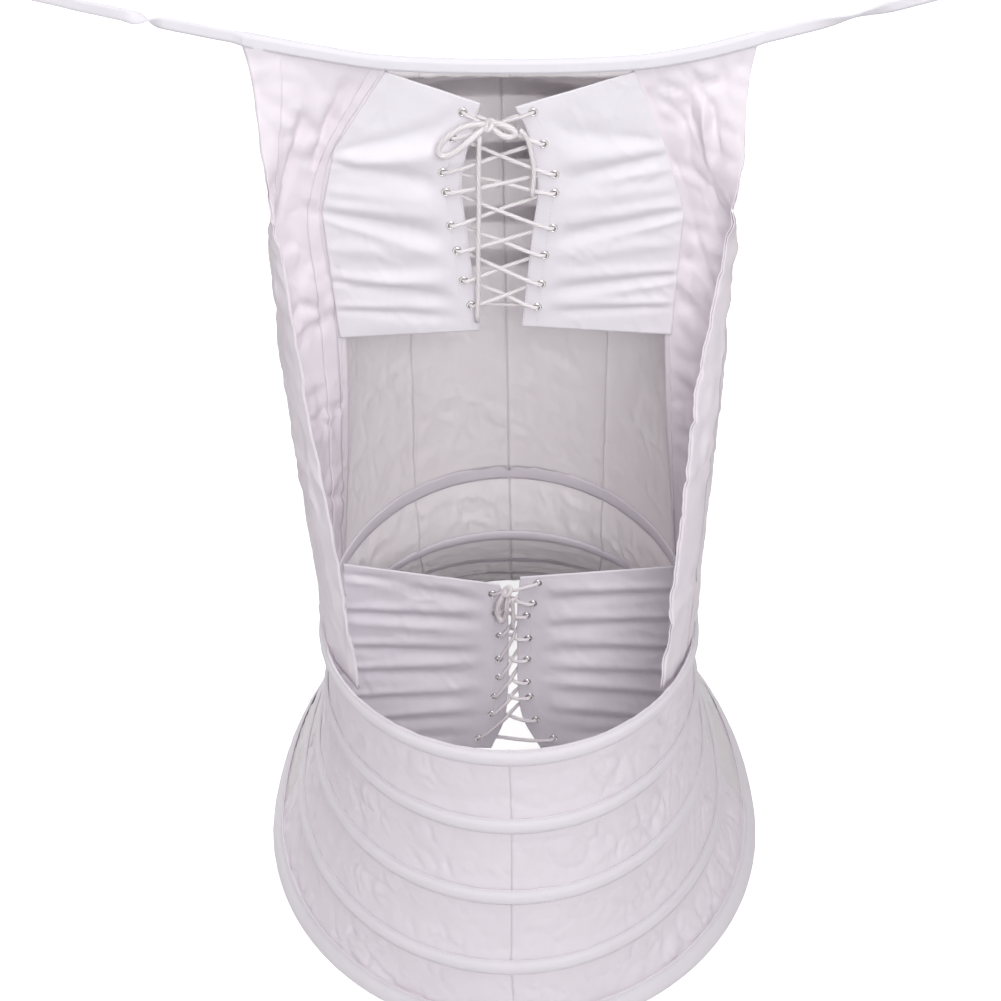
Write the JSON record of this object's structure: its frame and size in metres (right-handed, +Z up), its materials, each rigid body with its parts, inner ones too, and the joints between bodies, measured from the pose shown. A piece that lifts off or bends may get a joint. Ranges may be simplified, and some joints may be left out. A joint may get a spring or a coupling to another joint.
{
  "type": "crinoline cage",
  "caption": "Cotton crinoline cage for a bustle dress: a closed hooped skirt below, an open front with laced inner panels above, and a waist tape with long ties.",
  "frame": {"origin": "on the floor at the middle of the box, under the hem", "axes": "+Z up to the waist tape, -Y towards the open front, +X to the right as seen from the front"},
  "size_m": [0.88, 0.7838, 1.063],
  "materials": {
    "cotton": "plain weave off-white cotton",
    "casing": "doubled off-white cotton casing",
    "tape": "woven cotton tape",
    "steel": "flat spring steel",
    "eyelet": "nickel-plated eyelet",
    "cord": "soft cotton lacing cord"
  },
  "bodies": {
    "root": {"back_gore_left": "cotton", "back_gore_right": "cotton", "eyelets": "eyelet", "first_bustle_casing": "casing", "first_bustle_steel": "steel", "fourth_bustle_casing": "casing", "fourth_bustle_steel": "steel", "fourth_hoop_casing": "casing", "fourth_hoop_steel": "steel", "front_gore_left": "cotton", "front_gore_right": "cotton", "hem_hoop_casing": "casing", "hem_hoop_steel": "steel", "lower_lace": "cord", "lower_lace_tail": "cord", "lower_laced_panel_left": "cotton", "lower_laced_panel_right": "cotton", "rim_hoop_casing": "casing", "rim_hoop_steel": "steel", "second_bustle_casing": "casing", "second_bustle_steel": "steel", "second_hoop_casing": "casing", "second_hoop_steel": "steel", "side_back_gore_left": "cotton", "side_back_gore_right": "cotton", "side_panel_left": "cotton", "side_panel_right": "cotton", "third_bustle_casing": "casing", "third_bustle_steel": "steel", "third_hoop_casing": "casing", "third_hoop_steel": "steel", "upper_lace": "cord", "upper_lace_left_tail": "cord", "upper_lace_right_tail": "cord", "upper_laced_panel_left": "cotton", "upper_laced_panel_right": "cotton", "waist_tape": "tape"}
  },
  "joints": []
}
